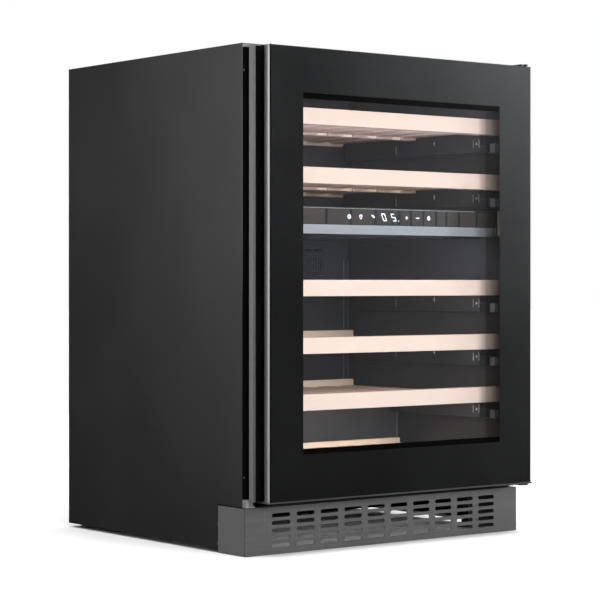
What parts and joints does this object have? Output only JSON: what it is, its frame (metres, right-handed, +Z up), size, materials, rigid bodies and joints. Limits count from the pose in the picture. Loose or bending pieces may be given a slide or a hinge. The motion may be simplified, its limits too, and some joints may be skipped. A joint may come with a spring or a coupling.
{
  "type": "wine cooler",
  "caption": "Built-in dual-zone wine cooler: glazed side-hinged door with finger-groove edge, slatted wooden shelves, touch control strip and slotted plinth grille.",
  "frame": {"origin": "centre of the footprint at floor level", "axes": "+Z up, the door faces -Y, +X is the hinge side, on the right as seen from the front"},
  "size_m": [0.595, 0.575, 0.82],
  "materials": {
    "casing_paint": "satin",
    "frame_paint": "satin",
    "zinc_sheet": "satin",
    "foam": "matte",
    "liner_plastic": "satin",
    "trim_aluminium": "satin",
    "panel_gloss": "gloss",
    "display_light": "gloss",
    "circuit_board": "satin",
    "fin_aluminium": "satin",
    "fan_plastic": "satin",
    "compressor_paint": "satin",
    "copper": "satin",
    "tray_plastic": "matte",
    "inlet_plastic": "satin",
    "kick_metal": "satin",
    "hinge_steel": "satin",
    "cover_plastic": "matte",
    "screw_steel": "satin",
    "led_lens": "satin",
    "runner_steel": "satin",
    "board_wood": "matte",
    "slat_wood": "matte",
    "pane_glass": "gloss",
    "inner_glass": "gloss",
    "border_print": "gloss",
    "handle_aluminium": "satin",
    "door_paint": "satin",
    "sill_aluminium": "satin",
    "seal_rubber": "matte",
    "bush_plastic": "satin",
    "foot_plastic": "matte"
  },
  "bodies": {
    "cabinet": {"left_side_panel": "casing_paint", "right_side_panel": "casing_paint", "top_panel": "casing_paint", "back_panel": "zinc_sheet", "front_frame": "frame_paint", "bottom_panel": "zinc_sheet", "foam_insulation": "foam", "upper_liner": "liner_plastic", "lower_liner": "liner_plastic", "zone_divider": "liner_plastic", "divider_trim": "trim_aluminium", "control_panel": "panel_gloss", "control_board": "circuit_board", "duct_covers": "liner_plastic", "evaporators": "fin_aluminium", "fan_frames": "fan_plastic", "compressor": "compressor_paint", "condenser": "compressor_paint", "refrigerant_pipes": "copper", "drip_tray": "tray_plastic", "base_frame": "frame_paint", "rear_grille": "zinc_sheet", "power_inlet": "inlet_plastic", "kick_plate": "kick_metal", "hinge_plates": "hinge_steel", "corner_covers": "cover_plastic", "screws": "screw_steel", "led_strips": "led_lens", "wall_runners": "runner_steel", "bottom_rack": "slat_wood"},
    "door": {"front_pane": "pane_glass", "inner_pane": "inner_glass", "pane_border": "border_print", "handle_profile": "handle_aluminium", "door_frame": "door_paint", "bottom_rail": "sill_aluminium", "door_seal": "seal_rubber", "hinge_bushes": "bush_plastic"},
    "shelf_1": {"shelf_1_board": "board_wood", "shelf_1_slats": "slat_wood", "shelf_1_arms": "runner_steel"},
    "shelf_2": {"shelf_2_board": "board_wood", "shelf_2_slats": "slat_wood", "shelf_2_arms": "runner_steel"},
    "shelf_3": {"shelf_3_board": "board_wood", "shelf_3_slats": "slat_wood", "shelf_3_arms": "runner_steel"},
    "shelf_4": {"shelf_4_board": "board_wood", "shelf_4_slats": "slat_wood", "shelf_4_arms": "runner_steel"},
    "shelf_5": {"shelf_5_board": "board_wood", "shelf_5_slats": "slat_wood", "shelf_5_arms": "runner_steel"},
    "upper_fan": {"upper_fan": "fan_plastic"},
    "lower_fan": {"lower_fan": "fan_plastic"},
    "condenser_fan": {"condenser_fan": "fan_plastic"},
    "front_left_foot": {"front_left_foot": "foot_plastic"},
    "front_right_foot": {"front_right_foot": "foot_plastic"},
    "rear_left_foot": {"rear_left_foot": "foot_plastic"},
    "rear_right_foot": {"rear_right_foot": "foot_plastic"}
  },
  "joints": [
    {"name": "door_hinge", "type": "hinge", "parent": "cabinet", "child": "door", "pos_m": [0.2855, -0.2755, 0.45], "axis": [0, 0, 1], "range_deg": [0, 115]},
    {"name": "shelf_1_slide", "type": "slide", "parent": "cabinet", "child": "shelf_1", "axis": [0, -1, 0], "range_m": [0, 0.011]},
    {"name": "shelf_2_slide", "type": "slide", "parent": "cabinet", "child": "shelf_2", "axis": [0, -1, 0], "range_m": [0, 0.011]},
    {"name": "shelf_3_slide", "type": "slide", "parent": "cabinet", "child": "shelf_3", "axis": [0, -1, 0], "range_m": [0, 0.011]},
    {"name": "shelf_4_slide", "type": "slide", "parent": "cabinet", "child": "shelf_4", "axis": [0, -1, 0], "range_m": [0, 0.011]},
    {"name": "shelf_5_slide", "type": "slide", "parent": "cabinet", "child": "shelf_5", "axis": [0, -1, 0], "range_m": [0, 0.011]},
    {"name": "upper_fan_spin", "type": "hinge", "parent": "cabinet", "child": "upper_fan", "pos_m": [0, 0.1885, 0.66], "axis": [0, 1, 0], "continuous": true},
    {"name": "lower_fan_spin", "type": "hinge", "parent": "cabinet", "child": "lower_fan", "pos_m": [0.181, 0.1885, 0.467], "axis": [0, 1, 0], "continuous": true},
    {"name": "condenser_fan_spin", "type": "hinge", "parent": "cabinet", "child": "condenser_fan", "pos_m": [0.1375, 0.1525, 0.106], "axis": [0, 1, 0], "continuous": true},
    {"name": "front_left_foot_screw", "type": "slide", "parent": "cabinet", "child": "front_left_foot", "axis": [0, 0, -1], "range_m": [0, 0.05]},
    {"name": "front_right_foot_screw", "type": "slide", "parent": "cabinet", "child": "front_right_foot", "axis": [0, 0, -1], "range_m": [0, 0.05]},
    {"name": "rear_left_foot_screw", "type": "slide", "parent": "cabinet", "child": "rear_left_foot", "axis": [0, 0, -1], "range_m": [0, 0.05]},
    {"name": "rear_right_foot_screw", "type": "slide", "parent": "cabinet", "child": "rear_right_foot", "axis": [0, 0, -1], "range_m": [0, 0.05]}
  ]
}
